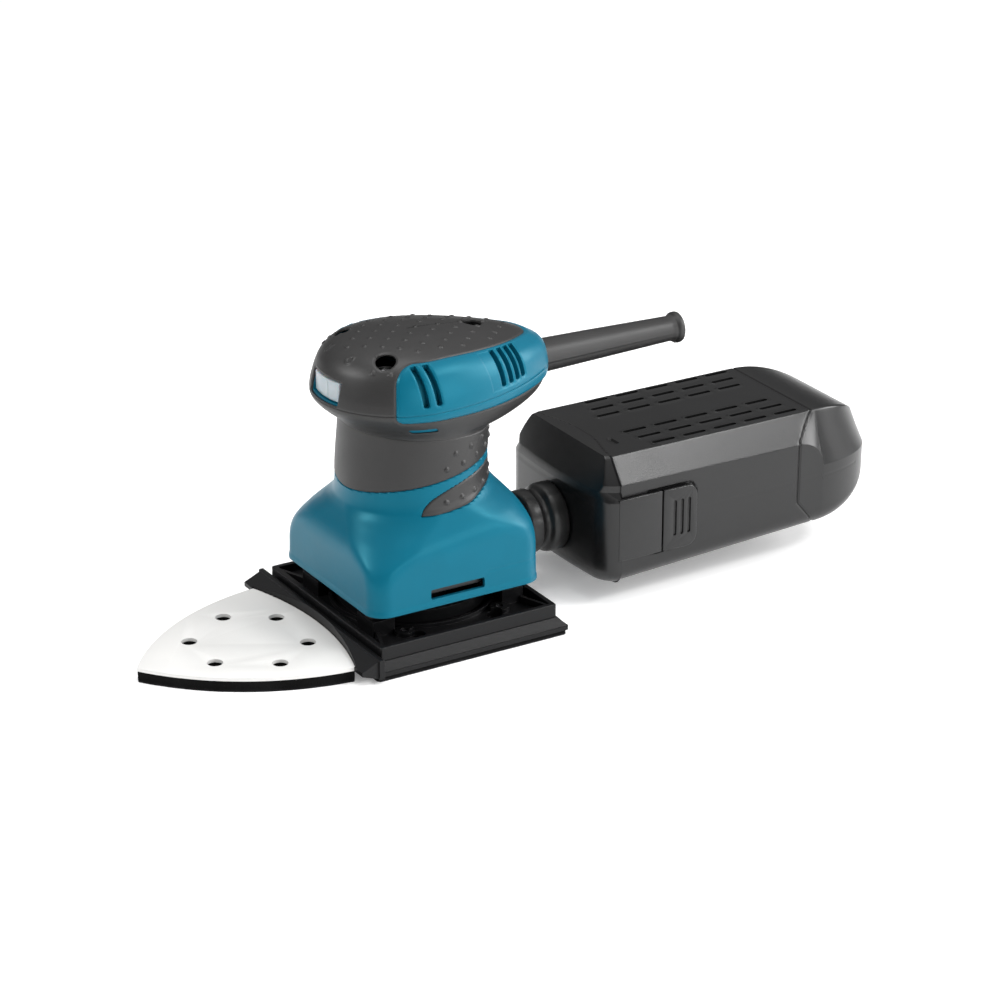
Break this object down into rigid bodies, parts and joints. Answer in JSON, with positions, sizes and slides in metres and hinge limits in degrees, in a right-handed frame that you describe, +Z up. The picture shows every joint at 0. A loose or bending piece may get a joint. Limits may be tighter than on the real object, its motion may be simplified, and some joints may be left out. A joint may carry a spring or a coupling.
{
  "type": "orbital sander",
  "caption": "Palm-grip orbital sander: square pad with a pale delta tip, teal motor housing, soft-grip head with vents, rocker switch, and a slide-off dust box behind.",
  "frame": {"origin": "on the pad's working face, where the motor's axis meets it", "axes": "+Z up the motor's axis to the head; the delta tip points to -Y, the dust box and cord guard to +Y; +X is the user's left-hand side when looking from the tip"},
  "size_m": [0.1154, 0.3799, 0.141],
  "materials": {
    "teal_plastic": "satin moulded plastic",
    "grip_elastomer": "matte textured elastomer",
    "black_plastic": "satin moulded plastic",
    "pad_plastic": "satin moulded plastic",
    "pad_foam": "closed-cell foam",
    "hook_felt": "hook-and-loop sheet",
    "white_plastic": "smooth satin",
    "smoke_plastic": "frosted translucent",
    "warm_grey_plastic": "satin",
    "filter_cloth": "non-woven filter cloth",
    "steel": "machined",
    "bearing_steel": "ground",
    "lamination": "stacked sheet steel",
    "copper": "enamelled copper wire",
    "brass": "drawn brass",
    "carbon": "pressed carbon",
    "rubber": "soft rubber"
  },
  "bodies": {
    "housing": {"motor_housing": "teal_plastic", "neck_grip": "grip_elastomer", "rear_grip": "grip_elastomer", "head_base": "teal_plastic", "base_grip": "grip_elastomer", "top_cover": "teal_plastic", "top_grip": "grip_elastomer", "cover_screws": "steel", "cord_guard": "rubber", "cord_clamp": "black_plastic", "clamp_screws": "steel", "bearing_plate": "black_plastic", "lower_bearing": "bearing_steel", "baffle_plate": "black_plastic", "stator_core": "lamination", "field_coils": "copper", "brush_plate": "black_plastic", "brush_holder_left": "brass", "brush_holder_right": "brass", "carbon_brush_left": "carbon", "carbon_brush_right": "carbon", "brush_spring_left": "steel", "brush_spring_right": "steel", "upper_bearing": "bearing_steel", "upper_bearing_holder": "black_plastic", "switch_body": "black_plastic", "rocker_pin": "steel", "rocker_bracket": "black_plastic", "exhaust_spigot": "warm_grey_plastic"},
    "rotor": {"motor_shaft": "steel", "eccentric_hub": "lamination", "pad_washer": "steel", "pad_bolt": "steel", "cooling_fan": "black_plastic", "armature_core": "lamination", "armature_windings": "copper", "commutator": "copper"},
    "pad": {"hook_sheet": "hook_felt", "main_foam": "pad_foam", "backing_plate": "pad_plastic", "pad_frame": "pad_plastic", "delta_hook_sheet": "hook_felt", "delta_foam": "pad_foam", "delta_plate": "white_plastic", "pad_bearing": "bearing_steel", "bearing_retainer": "steel", "pad_screws": "steel", "leg_front_left": "rubber", "leg_front_right": "rubber", "leg_rear_left": "rubber", "leg_rear_right": "rubber"},
    "rocker": {"power_rocker": "smoke_plastic"},
    "dust_front": {"nozzle_cuff": "rubber", "box_front": "black_plastic"},
    "dust_rear": {"box_rear": "black_plastic", "end_cap": "black_plastic", "filter_frame": "black_plastic", "filter_sheet": "filter_cloth"},
    "left_latch": {"latch_left": "black_plastic"},
    "right_latch": {"latch_right": "black_plastic"}
  },
  "joints": [
    {"name": "rotor_spin", "type": "hinge", "parent": "housing", "child": "rotor", "pos_m": [0, 0, 0], "axis": [0, 0, 1], "continuous": true},
    {"name": "pad_orbit", "type": "hinge", "parent": "rotor", "child": "pad", "pos_m": [0, 0.00075, 0], "axis": [0, 0, 1], "continuous": true},
    {"name": "rocker_tilt", "type": "hinge", "parent": "housing", "child": "rocker", "pos_m": [0, -0.0334, 0.1207], "axis": [0, 0, -1], "range_deg": [0, 10]},
    {"name": "box_pull", "type": "slide", "parent": "housing", "child": "dust_front", "axis": [0, 1, 0], "range_m": [0, 0.03]},
    {"name": "box_open", "type": "slide", "parent": "dust_front", "child": "dust_rear", "axis": [0, 1, 0], "range_m": [0, 0.05]},
    {"name": "latch_left_press", "type": "hinge", "parent": "dust_rear", "child": "left_latch", "pos_m": [-0.0427, 0.127, 0.038], "axis": [0, 0, 1], "range_deg": [0, 4], "stiffness_Nm_per_rad": 0.05},
    {"name": "latch_right_press", "type": "hinge", "parent": "dust_rear", "child": "right_latch", "pos_m": [0.0427, 0.127, 0.038], "axis": [0, 0, -1], "range_deg": [0, 4], "stiffness_Nm_per_rad": 0.05}
  ],
  "couplings": [
    {"joint": "pad_orbit", "follows": "rotor_spin", "ratio": -1}
  ]
}
